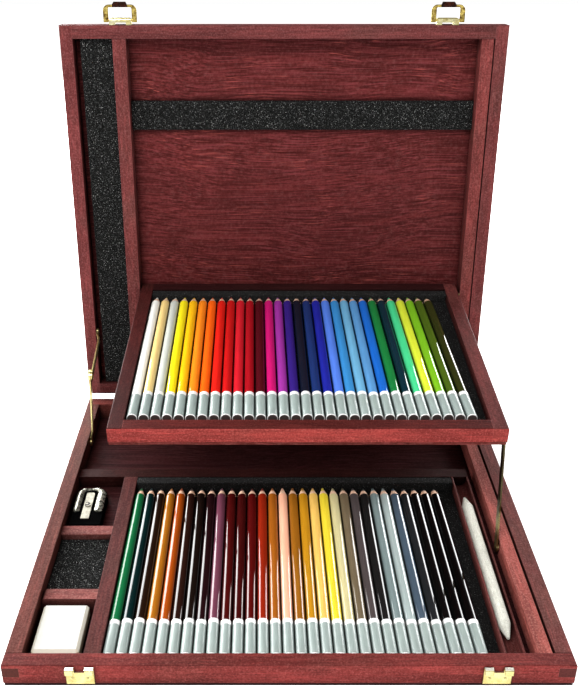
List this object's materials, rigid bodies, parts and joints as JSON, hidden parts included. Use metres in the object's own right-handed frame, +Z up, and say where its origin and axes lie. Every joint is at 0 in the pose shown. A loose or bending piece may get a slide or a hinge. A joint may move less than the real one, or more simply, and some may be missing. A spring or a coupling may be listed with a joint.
{
  "type": "pencil case",
  "caption": "Flat wooden hinged case for coloured pencils, with divided base, a lift-up tray hung from the lid, folding lid stay, tray arm and bail clasps.",
  "frame": {"origin": "centre of the underside of the base, between its outer front and back faces", "axes": "+Z up, +Y to the hinged back, +X to the right seen from the open front"},
  "size_m": [0.35, 0.364, 0.3539],
  "materials": {
    "stained_wood": "red-brown stain under satin lacquer",
    "stained_plywood": "thin stained plywood, satin",
    "speckled_foam": "black foam sheet with bright specks",
    "brassed_steel": "thin brass plate on steel, worn satin",
    "bronzed_steel": "dark bronze lacquer",
    "painted_pencils": "gloss lacquer over cedar, one colour to each pencil",
    "black_plastic": "satin",
    "bright_shell": "bright",
    "blade_steel": "ground",
    "eraser_rubber": "matte",
    "stump_paper": "rolled grey paper"
  },
  "bodies": {
    "base": {"base_front_rail": "stained_wood", "base_back_rail": "stained_wood", "base_left_rail": "stained_wood", "base_right_rail": "stained_wood", "base_bottom_panel": "stained_plywood", "left_divider": "stained_wood", "rear_divider": "stained_wood", "compartment_wall_front": "stained_wood", "compartment_wall_rear": "stained_wood", "stump_rail": "stained_wood", "right_filler_strip": "stained_wood", "lower_foam_bed": "speckled_foam", "lower_foam_end_strip": "speckled_foam", "accessory_foam_pad": "speckled_foam", "keeper_left": "brassed_steel", "keeper_right": "brassed_steel", "keeper_screws": "brassed_steel", "base_hinge_leaves": "brassed_steel", "hinge_pins": "brassed_steel", "base_hinge_screws": "brassed_steel", "base_pivot_screws": "brassed_steel", "pencils_lower": "painted_pencils"},
    "lid": {"lid_front_rail": "stained_wood", "lid_back_rail": "stained_wood", "lid_left_rail": "stained_wood", "lid_right_rail": "stained_wood", "lid_panel": "stained_plywood", "lid_left_strip": "stained_wood", "lid_right_strip": "stained_wood", "lid_foam_column": "speckled_foam", "lid_foam_band": "speckled_foam", "latch_housing_left": "brassed_steel", "latch_housing_right": "brassed_steel", "lid_hinge_leaves": "brassed_steel", "lid_hinge_screws": "brassed_steel", "tray_pivot_pins": "brassed_steel", "stay_lid_screw": "brassed_steel"},
    "tray": {"tray_front_rail": "stained_wood", "tray_back_rail": "stained_wood", "tray_left_rail": "stained_wood", "tray_right_rail": "stained_wood", "tray_panel": "stained_plywood", "tray_foam_bed": "speckled_foam", "tray_foam_end_strip": "speckled_foam", "tray_arm_pin": "brassed_steel", "pencils_upper": "painted_pencils"},
    "tray_arm": {"tray_arm": "brassed_steel"},
    "stay_lower_arm": {"stay_lower_arm": "brassed_steel"},
    "stay_upper_arm": {"stay_upper_arm": "brassed_steel"},
    "latch_left": {"latch_bail_left": "brassed_steel", "latch_thumb_left": "bronzed_steel"},
    "latch_right": {"latch_bail_right": "brassed_steel", "latch_thumb_right": "bronzed_steel"},
    "sharpener": {"sharpener_body": "black_plastic", "sharpener_shell": "bright_shell", "sharpener_blade": "blade_steel"},
    "eraser": {"eraser": "eraser_rubber"},
    "blending_stump": {"blending_stump": "stump_paper"}
  },
  "joints": [
    {"name": "lid_hinge", "type": "hinge", "parent": "base", "child": "lid", "pos_m": [0, 0.1619, 0.0172], "axis": [-1, 0, 0], "range_deg": [-94, 0]},
    {"name": "tray_pivot", "type": "hinge", "parent": "lid", "child": "tray", "pos_m": [0, 0.17193, 0.11474], "axis": [-1, 0, 0], "range_deg": [0, 97.7]},
    {"name": "tray_arm_pivot", "type": "hinge", "parent": "base", "child": "tray_arm", "pos_m": [0.1525, -0.03973, 0.0095], "axis": [-1, 0, 0], "range_deg": [-98.4, 0]},
    {"name": "stay_lower_pivot", "type": "hinge", "parent": "base", "child": "stay_lower_arm", "pos_m": [-0.1638, 0.10024, 0.00854], "axis": [-1, 0, 0], "range_deg": [-96.4, 0]},
    {"name": "stay_upper_pivot", "type": "hinge", "parent": "lid", "child": "stay_upper_arm", "pos_m": [-0.1638, 0.17019, 0.07892], "axis": [-1, 0, 0], "range_deg": [0, 106.9]},
    {"name": "latch_left_pivot", "type": "hinge", "parent": "lid", "child": "latch_left", "pos_m": [-0.1272, 0.18822, 0.34055], "axis": [-1, 0, 0], "range_deg": [-97, 0]},
    {"name": "latch_right_pivot", "type": "hinge", "parent": "lid", "child": "latch_right", "pos_m": [0.1272, 0.18822, 0.34055], "axis": [-1, 0, 0], "range_deg": [-97, 0]},
    {"name": "sharpener_lift", "type": "slide", "parent": "base", "child": "sharpener", "axis": [0, 0, 1], "range_m": [0, 0.04]},
    {"name": "eraser_lift", "type": "slide", "parent": "base", "child": "eraser", "axis": [0, 0, 1], "range_m": [0, 0.04]},
    {"name": "stump_lift", "type": "slide", "parent": "base", "child": "blending_stump", "axis": [0, 0, 1], "range_m": [0, 0.04]}
  ],
  "couplings": [
    {"joint": "tray_pivot", "follows": "lid_hinge", "ratio": -1.0391},
    {"joint": "tray_arm_pivot", "follows": "lid_hinge", "ratio": 1.0461},
    {"joint": "stay_lower_pivot", "follows": "lid_hinge", "ratio": 1.0245},
    {"joint": "stay_upper_pivot", "follows": "lid_hinge", "ratio": -1.1365}
  ]
}
